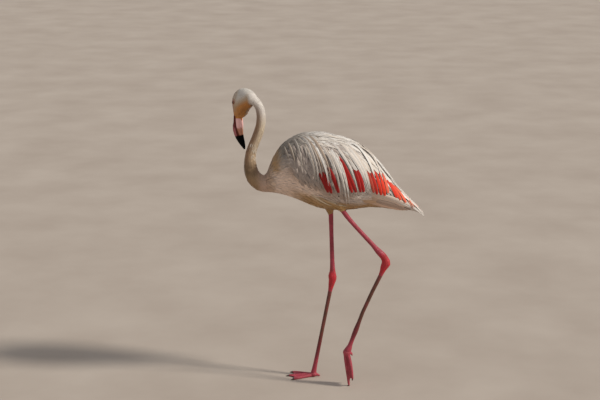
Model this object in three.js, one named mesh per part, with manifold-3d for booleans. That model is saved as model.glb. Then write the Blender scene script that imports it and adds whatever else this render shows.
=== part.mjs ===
// A greater flamingo, life size, at rest on its straight right leg with the left one trailing.
// Millimetres, +Z up, floor at z = 0. The bird faces -X, so its left side is on -Y.
import * as THREE from 'three';
import { mergeVertices } from 'three/addons/utils/BufferGeometryUtils.js';
import Module from 'manifold-3d';

const wasm = await Module();
wasm.setup();

const GAP = 0.3; // left between pieces that touch
const LEFT = -1;
const RIGHT = 1;

// ---- Driving dimensions ----
const TARSUS = 320; // foot joint to ankle
const SHANK = 200; // ankle to where the feathers start
const LEG_SPREAD = 41; // each leg's distance from the middle
const MIDDLE_TOE = 90;
const BODY_HALF_WIDTH = 85; // without the wings
const WING_THICKNESS = 11;
const NECK_RADIUS = 15;
const HEAD_HALF_WIDTH = 20.5;
const BILL_HALF_WIDTH = 14;
const HEAD_TURN = 38; // degrees, towards the bird's right
const EYE_RADIUS = 6;

// ---- Materials ----
const finish = (color, roughness) => new THREE.MeshStandardMaterial({ color, roughness, metalness: 0 });
const plumage = finish(0xd9cdc4, 0.9);
const flightFeather = finish(0xc9a9a0, 0.85);
const billPink = finish(0xdd958f, 0.5);
const billUpper = finish(0x7a3a3c, 0.45);
const eyeball = finish(0xd8c27a, 0.1);
const bareSkin = finish(0x9c4046, 0.6);
const horn = finish(0x3a2a2a, 0.4);

const flamingo = new THREE.Group();

// ---- Making and cutting solids ----
const mix = THREE.MathUtils.lerp;
const smooth = (value, low, high) => THREE.MathUtils.smoothstep(value, low, high);

function signedVolume(geometry) {
  const corner = [new THREE.Vector3(), new THREE.Vector3(), new THREE.Vector3()];
  const { position } = geometry.attributes;
  const { index } = geometry;
  let volume = 0;
  for (let i = 0; i < index.count; i += 3) {
    corner.forEach((point, k) => point.fromBufferAttribute(position, index.getX(i + k)));
    volume += corner[0].dot(corner[1].cross(corner[2])) / 6;
  }
  return volume;
}

// Merges the shared vertices and turns the faces outward.
function closed(geometry) {
  geometry.deleteAttribute('normal');
  geometry.deleteAttribute('uv');
  const merged = mergeVertices(geometry, 1e-3);
  if (signedVolume(merged) < 0) {
    const corners = merged.index.array;
    for (let i = 0; i < corners.length; i += 3) {
      [corners[i], corners[i + 1]] = [corners[i + 1], corners[i]];
    }
  }
  return merged;
}

function solidOf(geometry) {
  const vertProperties = Float32Array.from(geometry.attributes.position.array);
  const triVerts = Uint32Array.from(geometry.index.array);
  return new wasm.Manifold(new wasm.Mesh({ numProp: 3, vertProperties, triVerts }));
}

function geometryOf(solid) {
  const { vertProperties, triVerts } = solid.getMesh();
  const geometry = new THREE.BufferGeometry();
  geometry.setAttribute('position', new THREE.BufferAttribute(vertProperties, 3));
  geometry.setIndex(new THREE.BufferAttribute(triVerts, 1));
  return geometry;
}

function cut(geometry, ...tools) {
  return geometryOf(tools.reduce((solid, tool) => solid.subtract(solidOf(tool)), solidOf(geometry)));
}

function join(...geometries) {
  const [first, ...others] = geometries.map(solidOf);
  return geometryOf(others.reduce((solid, other) => solid.add(other), first));
}

function add(name, geometry, material) {
  const mesh = new THREE.Mesh(geometry, material);
  mesh.name = name;
  flamingo.add(mesh);
}

// Shapes a closed cylinder: place sets each point from its share of the length and its angle.
// The middle of each end is set with reach 0.
function shaped(sides, rings, place) {
  const geometry = new THREE.CylinderGeometry(1, 1, 1, sides, rings);
  const { position } = geometry.attributes;
  const point = new THREE.Vector3();
  for (let i = 0; i < position.count; i += 1) {
    point.fromBufferAttribute(position, i);
    const reach = Math.round(Math.hypot(point.x, point.z));
    place(point, 0.5 - point.y, Math.atan2(point.z, point.x), reach);
    position.setXYZ(i, point.x, point.y, point.z);
  }
  return closed(geometry);
}

const belowFloor = closed(new THREE.BoxGeometry(600, 400, 40).translate(0, 0, -20));

// ---- Limbs: a body part round a curved centre line ----
// A station is a point of the centre line with the part's half depth, half width and turn there.
const station = (x, y, z, depth, width = depth, turn = 0) => {
  return { at: new THREE.Vector3(x, y, z), depth, width, turn };
};

const leftOf = (turn) => {
  const angle = THREE.MathUtils.degToRad(turn);
  return new THREE.Vector3(-Math.sin(angle), -Math.cos(angle), 0);
};

const round = (angle, reach) => [reach * Math.cos(angle), reach * Math.sin(angle)];

class Limb {
  constructor(stations) {
    this.last = stations.length - 1;
    this.line = new THREE.CatmullRomCurve3(stations.map(({ at }) => at), false, 'centripetal');
    const sizes = stations.map(({ depth, width, turn }) => new THREE.Vector3(depth, width, turn));
    this.sizes = new THREE.CatmullRomCurve3(sizes, false, 'centripetal');
  }

  // The centre, the directions and the sizes at a station's number, or between two. Under is the
  // side towards the throat on the neck and bill, and the back of a leg.
  frame(number) {
    const share = THREE.MathUtils.clamp(number / this.last, 0, 1);
    const along = this.line.getTangent(share);
    const { x: depth, y: width, z: turn } = this.sizes.getPoint(share);
    const left = leftOf(turn);
    left.addScaledVector(along, -left.dot(along)).normalize();
    const under = new THREE.Vector3().crossVectors(left, along);
    return { centre: this.line.getPoint(share), along, left, under, depth, width };
  }

  // The stretch between two stations. A section gives the shares across and under at an angle.
  // With out, it is fatter and longer by that, to cut a neighbour with.
  length(from, to, sides, rings, section = round, out = 0) {
    return shaped(sides, rings, (point, share, angle, reach) => {
      const number = mix(from, to, share);
      const { centre, along, left, under, depth, width } = this.frame(number);
      const [across, below] = section(angle, reach, number);
      const end = share === 0 ? 1 : -Math.floor(share);
      point.copy(centre).addScaledVector(along, end * (GAP / 2 - 1.5 * out));
      point.addScaledVector(left, across * (width + out)).addScaledVector(under, below * (depth + out));
    });
  }
}

// A part between two outlines, such as a crown and a throat. Its sections join their points.
class Outlined extends Limb {
  constructor(sections) {
    super(sections.map(({ crown, throat, width, turn }) => {
      const { x, y, z } = crown.clone().lerp(throat, 0.5);
      return station(x, y, z, crown.distanceTo(throat) / 2, width, turn);
    }));
    this.crown = new THREE.CatmullRomCurve3(sections.map(({ crown }) => crown), false, 'centripetal');
    this.throat = new THREE.CatmullRomCurve3(sections.map(({ throat }) => throat), false, 'centripetal');
  }

  frame(number) {
    const share = THREE.MathUtils.clamp(number / this.last, 0, 1);
    const crown = this.crown.getPoint(share);
    const throat = this.throat.getPoint(share);
    const { y: width, z: turn } = this.sizes.getPoint(share);
    const under = throat.clone().sub(crown);
    const depth = under.length() / 2;
    under.normalize();
    const left = leftOf(turn);
    left.addScaledVector(under, -left.dot(under)).normalize();
    const along = new THREE.Vector3().crossVectors(under, left);
    return { centre: crown.lerp(throat, 0.5), along, left, under, depth, width };
  }
}

// A limb's section at one of its stations, given as two points of the outline.
function sectionOf(limb, number) {
  const { centre, under, depth, width } = limb.frame(number);
  const crown = centre.clone().addScaledVector(under, -depth);
  const throat = centre.clone().addScaledVector(under, depth);
  return { crown, throat, width, turn: limb.sizes.getPoint(number / limb.last).z };
}

// ---- The body's form, under the wings ----
// Stations along X: the height of the back, the height of the belly, and the half width.
const BODY_STATIONS = [
  [-199, 677, 622, 27],
  [-184, 715, 620, 40],
  [-162, 762, 619, 0.66 * BODY_HALF_WIDTH],
  [-110, 803, 604, 0.9 * BODY_HALF_WIDTH],
  [-30, 818, 571, BODY_HALF_WIDTH],
  [50, 795, 565, 0.98 * BODY_HALF_WIDTH],
  [130, 732, 574, 0.76 * BODY_HALF_WIDTH],
  [200, 644, 566, 0.46 * BODY_HALF_WIDTH],
  [276, 569, 558, 0.2 * BODY_HALF_WIDTH],
  [300, 545, 539, 5],
];
const BODY_FRONT = BODY_STATIONS[0][0];
const TAIL_TIP = 276;
const WIDEST = 0.5; // how far up the body is widest

const bodyLine = new THREE.CatmullRomCurve3(
  BODY_STATIONS.map(([x, back, belly]) => new THREE.Vector3(x, back, belly)),
  false,
  'centripetal',
);
const widthLine = new THREE.CatmullRomCurve3(
  BODY_STATIONS.map(([x, , , half]) => new THREE.Vector3(x, half, 0)),
  false,
  'centripetal',
);

function pointAt(line, x) {
  let low = 0;
  let high = 1;
  for (let step = 0; step < 30; step += 1) {
    const middle = (low + high) / 2;
    if (line.getPoint(middle).x < x) low = middle;
    else high = middle;
  }
  return line.getPoint(low);
}

// A point of the form at an angle from the top round the left side, moved out by a distance.
function bodyPoint(x, angle, out = 0) {
  const { y: back, z: belly } = pointAt(bodyLine, x);
  const half = pointAt(widthLine, x).y;
  const level = mix(belly, back, WIDEST);
  const rise = Math.cos(angle) > 0 ? back - level : level - belly;
  return [-(half + out) * Math.sin(angle), level + (rise + out) * Math.cos(angle)];
}

// A length of the form between two of its rings, which stand evenly from the breast to the tail.
const BODY_RINGS = 21;
const RUMP_RING = 15; // where the trunk ends and the tail begins
function bodyLength(first, last, out = 0) {
  return shaped(24, last - first, (point, share, angle, reach) => {
    const end = share === 0 ? -1 : Math.floor(share);
    const inset = end * (out || -GAP / 2);
    const x = mix(BODY_FRONT, TAIL_TIP, mix(first, last, share) / BODY_RINGS) + inset;
    const [y, z] = bodyPoint(x, angle, out);
    const [, top] = bodyPoint(x, 0);
    const [, bottom] = bodyPoint(x, Math.PI);
    point.set(x, reach * y, reach ? z : (top + bottom) / 2);
  });
}

const bodyTool = bodyLength(0, BODY_RINGS, GAP);
add('trunk', bodyLength(0, RUMP_RING), plumage);
add('tail', bodyLength(RUMP_RING, BODY_RINGS), plumage);

// ---- Wings: folded over the sides, and meeting over the rump ----
const WING_BEND = -176;
const WING_TIP = 298;
// The lower edge of the folded wing, from the bend to the tip.
const WING_EDGE = [
  [-176, 732],
  [-132, 702],
  [-70, 668],
  [0, 644],
  [46, 620],
  [85, 638],
  [135, 632],
  [200, 606],
  [262, 570],
  [298, 541],
];
const edgeLine = new THREE.CatmullRomCurve3(
  WING_EDGE.map(([x, z]) => new THREE.Vector3(x, z, 0)),
  false,
  'centripetal',
);
const MANTLE_ANGLE = THREE.MathUtils.degToRad(30); // how far down the side the front of a wing starts
const WINGS_MEET = 90; // where along X the wings meet over the rump
const LEAST_ANGLE = 0.25; // from a wing's upper edge to its lower one
const FRONT_SHARE = 0.35; // how much of its thickness a wing keeps at its bend,
const TIP_SHARE = 0.55; // at its tip,
const UPPER_SHARE = 0.25; // along its upper edge where the back shows
const LOWER_SHARE = 0.45; // and along its lower edge
const INNER_DEPTH = 4; // how far a wing's form goes into the body's, which is then cut from it

const WING_SIDES = 20; // a multiple of four, which puts a point on each edge
const WING_RINGS = 20;

// A ring of a wing runs down outside it and back up inside, with one point on each edge.
function wing(side) {
  const steps = WING_SIDES / 2;
  const geometry = shaped(WING_SIDES, WING_RINGS, (point, share, turn, reach) => {
    const x = mix(WING_BEND, WING_TIP, share);
    const edge = pointAt(edgeLine, x).y;
    const [, back] = bodyPoint(x, 0);
    const [, belly] = bodyPoint(x, Math.PI);
    const level = mix(belly, back, WIDEST);
    const half = edge > level ? back - level : level - belly;
    const upper = MANTLE_ANGLE * (1 - smooth(x, 0, WINGS_MEET));
    const reached = Math.acos(THREE.MathUtils.clamp((edge - level) / half, -1, 1));
    const lower = Math.max(reached, upper + LEAST_ANGLE);
    const step = Math.round(steps * Math.abs(turn) / Math.PI);
    const onEdge = step % steps === 0;
    const down = reach ? THREE.MathUtils.clamp((step - 1) / (steps - 2), 0, 1) : 0.5;
    const front = mix(FRONT_SHARE, 1, smooth(share, 0, 0.12));
    const tip = mix(1, TIP_SHARE, smooth(share, 0.75, 1));
    const upperLip = mix(UPPER_SHARE, 1, Math.max(smooth(down, 0, 0.25), smooth(x, 20, WINGS_MEET)));
    const lowerLip = mix(1, LOWER_SHARE, smooth(down, 0.75, 1));
    const outer = WING_THICKNESS * front * tip * upperLip * lowerLip;
    const inner = -Math.min(INNER_DEPTH, 0.4 * pointAt(widthLine, x).y);
    const out = onEdge || !reach ? (outer + inner) / 2 : turn > 0 ? outer : inner;
    const [y, z] = bodyPoint(x, mix(upper, lower, down), out);
    point.set(x, side * Math.max(-y, GAP / 2), z);
  });
  return cut(geometry, bodyTool);
}

add('wing_left', wing(LEFT), flightFeather);
add('wing_right', wing(RIGHT), flightFeather);

// ---- Neck ----
const turnAngle = THREE.MathUtils.degToRad(HEAD_TURN);
const NAPE = new THREE.Vector3(-236, 3, 0);

// A place ahead of the nape by a distance, in the head's own turned direction.
const headPoint = (ahead, z) => new THREE.Vector3(
  NAPE.x - ahead * Math.cos(turnAngle),
  NAPE.y + ahead * Math.sin(turnAngle),
  z,
);

function headStation(ahead, z, depth, width) {
  const { x, y } = headPoint(ahead, z);
  return station(x, y, z, depth, width, HEAD_TURN);
}

const neck = new Limb([
  station(-150, 0, 679, 40), // inside the breast, so that the neck leaves it level
  station(-199, 0, 649.5, 27.5),
  station(-231, 0, 669, 25),
  station(-243, 0, 706, 1.43 * NECK_RADIUS),
  station(-241, 0, 746, 1.17 * NECK_RADIUS),
  station(-228, 0, 782, 1.03 * NECK_RADIUS),
  station(-214, 0, 818, NECK_RADIUS),
  station(-208, 0, 852, 0.96 * NECK_RADIUS),
  station(-211, 0, 882, 0.9 * NECK_RADIUS),
  station(-218, 0, 898, 0.88 * NECK_RADIUS, 0.88 * NECK_RADIUS, 0.2 * HEAD_TURN),
  station(-228, 1, 910, 0.94 * NECK_RADIUS, 0.94 * NECK_RADIUS, 0.5 * HEAD_TURN),
  headStation(14, 921, 20, 0.9 * HEAD_HALF_WIDTH), // inside the head
]);
const BREAST = 1;
const SKULL = neck.last - 1;
const [LOW_CUT, HIGH_CUT] = [3.5, 6.5]; // where the neck is parted

add('neck_lower', neck.length(BREAST, LOW_CUT, 18, 7), plumage);
add('neck_middle', neck.length(LOW_CUT, HIGH_CUT, 16, 6), plumage);
add('neck_upper', neck.length(HIGH_CUT, SKULL, 16, 7), plumage);

// ---- Bill ----
const bill = new Limb([
  headStation(40, 876, 13.6, 0.95 * BILL_HALF_WIDTH), // inside the head, to slant the bill's base
  headStation(56.8, 855, 14.4, 0.95 * BILL_HALF_WIDTH),
  headStation(55.8, 836, 16.2, BILL_HALF_WIDTH),
  headStation(57.8, 818, 18.8, 0.96 * BILL_HALF_WIDTH),
  headStation(54.8, 800, 16.8, 0.82 * BILL_HALF_WIDTH),
  headStation(47, 783, 13.2, 0.66 * BILL_HALF_WIDTH),
  headStation(38, 768, 9, 0.42 * BILL_HALF_WIDTH),
  headStation(31, 754, 2.6, 2.4),
]);
const BILL_BASE = 1;

// The line where the bill's halves meet, as a share of its half depth behind its middle.
const gape = (number) => 0.1 * smooth(number, BILL_BASE, 3) + 0.15 * smooth(number, bill.last - 2, bill.last);

// Half of the bill's section: a curve on one side of the gape and a straight edge along it.
function mandible(side, narrow) {
  const clearance = 0.012; // as a share of the half depth
  return (angle, reach, number) => {
    const line = gape(number) + side * clearance;
    const bulge = 1 - side * line;
    if (!reach) return [0, line + side * 0.4 * bulge];
    return [narrow * Math.cos(angle), line + side * bulge * Math.max(Math.sin(angle), 0)];
  };
}

add('bill_upper', bill.length(BILL_BASE, bill.last, 16, 10, mandible(-1, 0.9)), billUpper);
add('bill_lower', bill.length(BILL_BASE, bill.last, 16, 10, mandible(1, 1)), billPink);

// ---- Head, between the neck's end and the bill's base ----
const headSection = (crown, throat, width, turn = 1) => ({
  crown: headPoint(...crown),
  throat: headPoint(...throat),
  width: width * HEAD_HALF_WIDTH,
  turn: turn * HEAD_TURN,
});
const head = new Outlined([
  sectionOf(neck, SKULL),
  headSection([-4, 936], [2.5, 896.5], 0.82, 0.8),
  headSection([18, 945], [5.5, 892.4], 0.94),
  headSection([42, 943], [10, 887], 1),
  headSection([62, 931.5], [15.5, 880.5], 1),
  headSection([74, 913], [21, 871.5], 0.98),
  headSection([75.5, 893], [26, 861], 0.9),
  headSection([73, 875], [33, 853], 0.78),
  sectionOf(bill, BILL_BASE),
]);

const EYE_AHEAD = 60;
const EYE_HEIGHT = 899;
const EYE_SUNK = 7; // how far each eye's middle lies inside the head's greatest half width
function eye(side, radius) {
  const ball = new THREE.SphereGeometry(radius, 12, 7);
  const at = headPoint(EYE_AHEAD, EYE_HEIGHT);
  at.addScaledVector(leftOf(HEAD_TURN), -side * (HEAD_HALF_WIDTH - EYE_SUNK));
  return closed(ball.translate(at.x, at.y, at.z));
}

const skull = head.length(0, head.last, 20, 14);
add('head', cut(skull, eye(LEFT, EYE_RADIUS + GAP), eye(RIGHT, EYE_RADIUS + GAP)), plumage);
add('eye_left', eye(LEFT, EYE_RADIUS), eyeball);
add('eye_right', eye(RIGHT, EYE_RADIUS), eyeball);

// ---- Legs ----
// The next joint up a leg, a length away and leaning back by some degrees.
function up(from, length, lean) {
  const angle = THREE.MathUtils.degToRad(lean);
  return from.clone().add(new THREE.Vector3(length * Math.sin(angle), 0, length * Math.cos(angle)));
}

// A station between two joints, that may stand behind the line between them.
function on(from, to, share, depth, width = depth, behind = 0) {
  const { x, y, z } = from.clone().lerp(to, share);
  const line = to.clone().sub(from).normalize();
  return station(x - behind * line.z, y, z + behind * line.x, depth, width);
}

const rightFoot = new THREE.Vector3(-46, LEG_SPREAD, 14);
const rightAnkle = up(rightFoot, TARSUS + 5, 10.6);
const rightShank = up(rightAnkle, SHANK, -2);
const leftFoot = new THREE.Vector3(57, -LEG_SPREAD, 112);
const leftAnkle = up(leftFoot, TARSUS, 22);
const leftShank = up(leftAnkle, SHANK + 5, -39.5);

const SHANK_RADIUS = 7;
const ANKLE_DEPTH = 12.5;
const TARSUS_RADIUS = 6.1;

// A leg is parted at these stations.
const SHANK_START = 3;
const ANKLE_START = 5.4;
const TARSUS_START = 9;
const FOOT_START = 12.4;

// The shank meets the ankle behind the line between the joints, and the tarsus is bowed forwards.
function leg(name, hip, shank, ankle, foot, behind, bow) {
  const line = new Limb([
    station(hip.x, hip.y, hip.z, 38, 32),
    on(hip, shank, 0.45, 30, 25),
    on(hip, shank, 0.8, 15, 13.5),
    on(hip, shank, 1, 1.12 * SHANK_RADIUS),
    on(shank, ankle, 0.3, 0.96 * SHANK_RADIUS),
    on(shank, ankle, 0.75, 1.04 * SHANK_RADIUS, SHANK_RADIUS, behind),
    on(shank, ankle, 0.92, 0.78 * ANKLE_DEPTH, 0.72 * ANKLE_DEPTH, behind),
    station(ankle.x, ankle.y, ankle.z, ANKLE_DEPTH, 0.84 * ANKLE_DEPTH),
    on(ankle, foot, 0.06, 0.8 * ANKLE_DEPTH, 0.72 * ANKLE_DEPTH),
    on(ankle, foot, 0.14, 1.08 * TARSUS_RADIUS),
    on(ankle, foot, 0.5, 0.97 * TARSUS_RADIUS, 0.97 * TARSUS_RADIUS, -bow),
    on(ankle, foot, 0.88, 1.1 * TARSUS_RADIUS),
    on(ankle, foot, 0.97, 1.3 * TARSUS_RADIUS, 1.2 * TARSUS_RADIUS),
    station(foot.x, foot.y, foot.z, 1.5 * TARSUS_RADIUS, 1.35 * TARSUS_RADIUS),
  ]);
  add(`thigh_${name}`, cut(line.length(0, SHANK_START, 16, 7), bodyTool), plumage);
  add(`shank_${name}`, line.length(SHANK_START, ANKLE_START, 10, 5), bareSkin);
  add(`ankle_${name}`, line.length(ANKLE_START, TARSUS_START, 12, 8), bareSkin);
  add(`tarsus_${name}`, line.length(TARSUS_START, FOOT_START, 10, 6), bareSkin);
  return {
    knuckle: line.length(FOOT_START, line.last, 10, 2),
    shin: line.length(TARSUS_START, FOOT_START, 10, 6, round, GAP),
  };
}

const rightHip = new THREE.Vector3(-10, 38, 650);
const leftHip = new THREE.Vector3(2, -38, 645);
const rightEnd = leg('right', rightHip, rightShank, rightAnkle, rightFoot, 0, 0);
const leftEnd = leg('left', leftHip, leftShank, leftAnkle, leftFoot, 4.5, 5);

// ---- Feet: three webbed toes, a small hind toe and a claw on each front toe ----
const TOE_HALF_DEPTH = 5.5;
const TOE_HALF_WIDTH = 6;
const TOE_TAPER = [1.15, 1, 0.85, 0.7, 0.55, 0.12]; // a toe's size at its stations
const CLAW_START = 4; // the station where a claw starts
const WEB_REACH = 3.7; // the station that the web reaches
const WEB_HOLLOW = 0.28; // how deep its front edge is hollowed
const WEB_THICKNESS = 1.4;

// A toe through four points, with its claw's tip as the fifth.
function toe(base, knuckle, pad, end, tip) {
  const places = [base, knuckle, pad, end.clone().lerp(pad, 0.2), end, tip];
  return new Limb(places.map(({ x, y, z }, i) => (
    station(x, y, z, TOE_TAPER[i] * TOE_HALF_DEPTH, TOE_TAPER[i] * TOE_HALF_WIDTH))));
}

// The web between two toes, with a hollow front edge.
function web(near, far) {
  const geometry = new THREE.BoxGeometry(1, 1, 1, 5, 4, 1);
  const { position } = geometry.attributes;
  const point = new THREE.Vector3();
  for (let i = 0; i < position.count; i += 1) {
    point.fromBufferAttribute(position, i);
    const across = point.y + 0.5;
    const along = (point.x + 0.5) * WEB_REACH * (1 - WEB_HOLLOW * Math.sin(Math.PI * across));
    const start = near.frame(along);
    const end = far.frame(along);
    const spread = end.centre.clone().sub(start.centre);
    const normal = new THREE.Vector3().crossVectors(start.along, spread).normalize();
    const thick = point.z * WEB_THICKNESS;
    point.copy(start.centre).addScaledVector(spread, across).addScaledVector(normal, thick);
    position.setXYZ(i, point.x, point.y, point.z);
  }
  return closed(geometry);
}

const joint = (x, y, z, depth, width, height) => (
  closed(new THREE.SphereGeometry(1, 10, 7).scale(depth, width, height).translate(x, y, z)));

function foot(name, { knuckle, shin }, ball, toes, hindToe) {
  const pieces = toes.map((each) => each.length(0, CLAW_START, 8, 5));
  const webs = [web(toes[0], toes[1]), web(toes[1], toes[2])];
  const whole = cut(join(knuckle, ball, hindToe, ...pieces, ...webs), shin, belowFloor);
  add(`foot_${name}`, whole, bareSkin);
  ['inner', 'middle', 'outer'].forEach((which, i) => {
    const claw = toes[i].length(CLAW_START, toes[i].last, 8, 2);
    add(`claw_${which}_${name}`, cut(claw, belowFloor), horn);
  });
}

// The right foot stands flat, its toes spread ahead of it.
const TOE_SPREAD = 25; // degrees between the toes
const TOE_SHARES = [0.9, 1, 0.94]; // each toe's length beside the middle one's

function flatToe(which) {
  const angle = THREE.MathUtils.degToRad((which - 1) * TOE_SPREAD);
  const length = MIDDLE_TOE * TOE_SHARES[which];
  const at = (share, z) => new THREE.Vector3(
    rightFoot.x - share * length * Math.cos(angle),
    rightFoot.y + share * length * Math.sin(angle),
    z,
  );
  return toe(at(0.02, 7), at(0.25, 5.2), at(0.6, 4.3), at(0.88, 2.9), at(1, 0.8));
}

const rightHind = new Limb([
  station(rightFoot.x, rightFoot.y, 10, 5),
  station(rightFoot.x + 12, rightFoot.y + 1, 6, 4),
  station(rightFoot.x + 20, rightFoot.y + 2, 1.6, 2.2),
]);
foot(
  'right',
  rightEnd,
  joint(rightFoot.x, rightFoot.y, 8, 12, 11, 9),
  [0, 1, 2].map(flatToe),
  rightHind.length(0, rightHind.last, 8, 3),
);

// The left foot hangs, half folded, and its middle toe's end rests on the floor.
const TOE_FAN = 13; // how far the side toes' ends stand off to each side,
const SIDE_TOE_LAG = 9; // behind the middle toe's
const SIDE_TOE_RISE = 27; // and above it
function hangingToe(which) {
  const aside = which - 1;
  const back = Math.abs(aside);
  const at = (behind, out, z) => new THREE.Vector3(
    leftFoot.x + behind + SIDE_TOE_LAG * back * (1 - z / leftFoot.z),
    leftFoot.y - aside * out,
    z + SIDE_TOE_RISE * back * (1 - z / leftFoot.z),
  );
  return toe(
    at(-4 + 7 * back, 2, leftFoot.z - 3),
    at(-2 + 9 * back, 0.45 * TOE_FAN, 0.72 * leftFoot.z),
    at(4 + 6 * back, 0.9 * TOE_FAN, 0.34 * leftFoot.z),
    at(8 + 2 * back, TOE_FAN, 2.4),
    at(1 + 7 * back, TOE_FAN, back ? -6 : 0.5),
  );
}

const leftHind = new Limb([
  station(leftFoot.x + 2, leftFoot.y, leftFoot.z + 2, 5),
  station(leftFoot.x + 14, leftFoot.y + 2, leftFoot.z - 3, 3.6),
  station(leftFoot.x + 18, leftFoot.y + 3, leftFoot.z - 12, 1.4),
]);
foot(
  'left',
  leftEnd,
  joint(leftFoot.x + 1, leftFoot.y, leftFoot.z - 1, 11.5, 9.5, 11),
  [0, 1, 2].map(hangingToe),
  leftHind.length(0, leftHind.last, 8, 3),
);

export default flamingo;
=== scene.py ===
# A greater flamingo's skin, feathers, bill, eyes and legs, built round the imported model.
# Metres, +Z up, floor at z = 0. The bird faces -X, so its left side is on -Y.
import math
import bmesh
import bpy
import numpy as np
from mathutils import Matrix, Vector
from mathutils.bvhtree import BVHTree


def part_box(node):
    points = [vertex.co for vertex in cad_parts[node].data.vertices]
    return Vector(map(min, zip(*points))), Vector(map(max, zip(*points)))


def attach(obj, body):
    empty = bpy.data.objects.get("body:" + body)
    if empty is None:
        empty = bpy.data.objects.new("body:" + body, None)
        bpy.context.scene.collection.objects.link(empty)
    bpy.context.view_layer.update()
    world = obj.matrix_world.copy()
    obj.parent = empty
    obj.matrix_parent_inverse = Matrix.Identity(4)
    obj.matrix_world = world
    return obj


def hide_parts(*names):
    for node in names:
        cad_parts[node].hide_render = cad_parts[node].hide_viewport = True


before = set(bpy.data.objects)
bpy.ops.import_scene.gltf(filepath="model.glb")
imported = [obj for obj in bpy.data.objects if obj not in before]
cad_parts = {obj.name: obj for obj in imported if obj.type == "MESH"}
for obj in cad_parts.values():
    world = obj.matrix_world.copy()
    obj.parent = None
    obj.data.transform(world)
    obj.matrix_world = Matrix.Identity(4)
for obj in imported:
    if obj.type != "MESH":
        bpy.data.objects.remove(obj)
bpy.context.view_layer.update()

MM = 0.001
LEFT, RIGHT = -1, 1
SIDES = {"left": LEFT, "right": RIGHT}
UP = np.array([0, 0, 1.0])


# ---- Numbers ----
def mix(low, high, share):
    return low + (high - low) * share


def smooth(value, low, high):
    share = np.clip((value - low) / (high - low), 0, 1)
    return share * share * (3 - 2 * share)


def unit(vectors):
    return vectors / np.maximum(np.linalg.norm(vectors, axis=-1, keepdims=True), 1e-9)


def tone(red, green, blue):
    """A linear colour from its 0 to 255 screen values."""
    screen = np.array([red, green, blue]) / 255
    return np.where(screen < 0.04045, screen / 12.92, ((screen + 0.055) / 1.055) ** 2.4)


def wavy(points, size, seed=0):
    """Smooth variation from 0 to 1 over space, with patches of about that size."""
    waves = np.random.default_rng(seed)
    total = np.zeros(len(points))
    for _ in range(6):
        way = waves.normal(size=3)
        total += np.sin(points @ (way / np.linalg.norm(way)) * 2 * math.pi / (size * waves.uniform(0.7, 1.6))
                        + waves.uniform(0, 6.3))
    return 0.5 + 0.5 * np.tanh(total / 2.2)


# ---- Places on the bird, read from the frame ----
def read(items, field, width=3, kind=float):
    """One field of all of a mesh's vertices, edges or corners, a row for each."""
    values = np.empty(len(items) * width, kind)
    items.foreach_get(field, values)
    return values.reshape(-1, width)


def points_of(mesh):
    return read(mesh.vertices, "co")


def middle(node):
    low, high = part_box(node)
    return np.array((low + high) / 2)


eye_centres = {LEFT: middle("eye_left"), RIGHT: middle("eye_right")}
eye_radius = float((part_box("eye_left")[1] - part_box("eye_left")[0]).z) / 2
head_left = unit(eye_centres[LEFT] - eye_centres[RIGHT])
head_ahead = np.cross(head_left, [0, 0, 1])
EYES_AHEAD, EYES_BELOW = 3, 4  # where the eyes are from the head's middle, in millimetres
head_middle = (eye_centres[LEFT] + eye_centres[RIGHT]) / 2 - MM * (EYES_AHEAD * head_ahead - EYES_BELOW * UP)


def head_place(ahead, height):
    """A point in the head's middle plane, by its millimetres ahead of and above the head's middle."""
    return head_middle + MM * (ahead * head_ahead + height * UP)


def in_head(points):
    """Millimetres ahead of, above and left of the head's middle."""
    off = (points - head_middle) / MM
    return off @ head_ahead, off[:, 2], off @ head_left


def above_throat(ahead, height):
    """How far a place on the head is from the sloping line of the throat, in millimetres."""
    return 0.78 * (ahead + 18) + 0.63 * (height + 46)


# The line that the head's and neck's feathers follow, from the bill to the breast.
NECK_LINE = np.array([
    head_place(-1, -50),
    head_place(-8, -18),
    head_place(-20, 8),
    head_place(-43, 15),
    (-0.219, 0, 0.898),
    (-0.211, 0, 0.882),
    (-0.208, 0, 0.852),
    (-0.214, 0, 0.818),
    (-0.228, 0, 0.782),
    (-0.241, 0, 0.746),
    (-0.243, 0, 0.706),
    (-0.231, 0, 0.669),
    (-0.199, 0, 0.650),
    (-0.130, 0, 0.660),
])

wing_points = points_of(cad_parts["wing_left"].data)
trunk_points = np.vstack([points_of(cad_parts[name].data) for name in ("trunk", "tail", "wing_left")])


def from_eyes(points):
    """How far points are from the nearer eye's centre, in millimetres."""
    return np.minimum(*[np.linalg.norm(points - eye_centres[side], axis=1) for side in (LEFT, RIGHT)]) / MM


def profile(points, pick, step=0.02):
    """The highest or lowest z of some points along x, as two rows for interpolation."""
    low, high = points[:, 0].min(), points[:, 0].max()
    places = np.arange(low, high, step)
    heights = [pick(points[np.abs(points[:, 0] - x) < step][:, 2]) for x in places]
    return places, np.array(heights)


back_line = profile(trunk_points, np.max)
wing_edge = profile(wing_points, np.min)


def down_wing(points):
    """How far down the side a point is, from 0 at the back to 1 at the wing's lower edge."""
    top = np.interp(points[:, 0], *back_line)
    low = np.interp(points[:, 0], *wing_edge)
    return (top - points[:, 2]) / np.maximum(top - low, 0.02)


# ---- Skin: one mesh for all the flesh ----
BODY_FLESH = [
    "trunk", "tail", "wing_left", "wing_right", "neck_lower", "neck_middle", "neck_upper", "head",
    "thigh_left", "thigh_right",
]
LEG_FLESH = [f"{part}_{side}" for side in SIDES for part in ("shank", "ankle", "tarsus", "foot")]
BODY_VOXEL = 2.55 * MM
LEG_VOXEL = 1.0 * MM
SHANK_HIDDEN = 22 * MM  # how much of each shank is among the thigh's feathers
CLOSING = 0.45 * MM  # how far each node is grown, so that the gaps between nodes close


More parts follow.
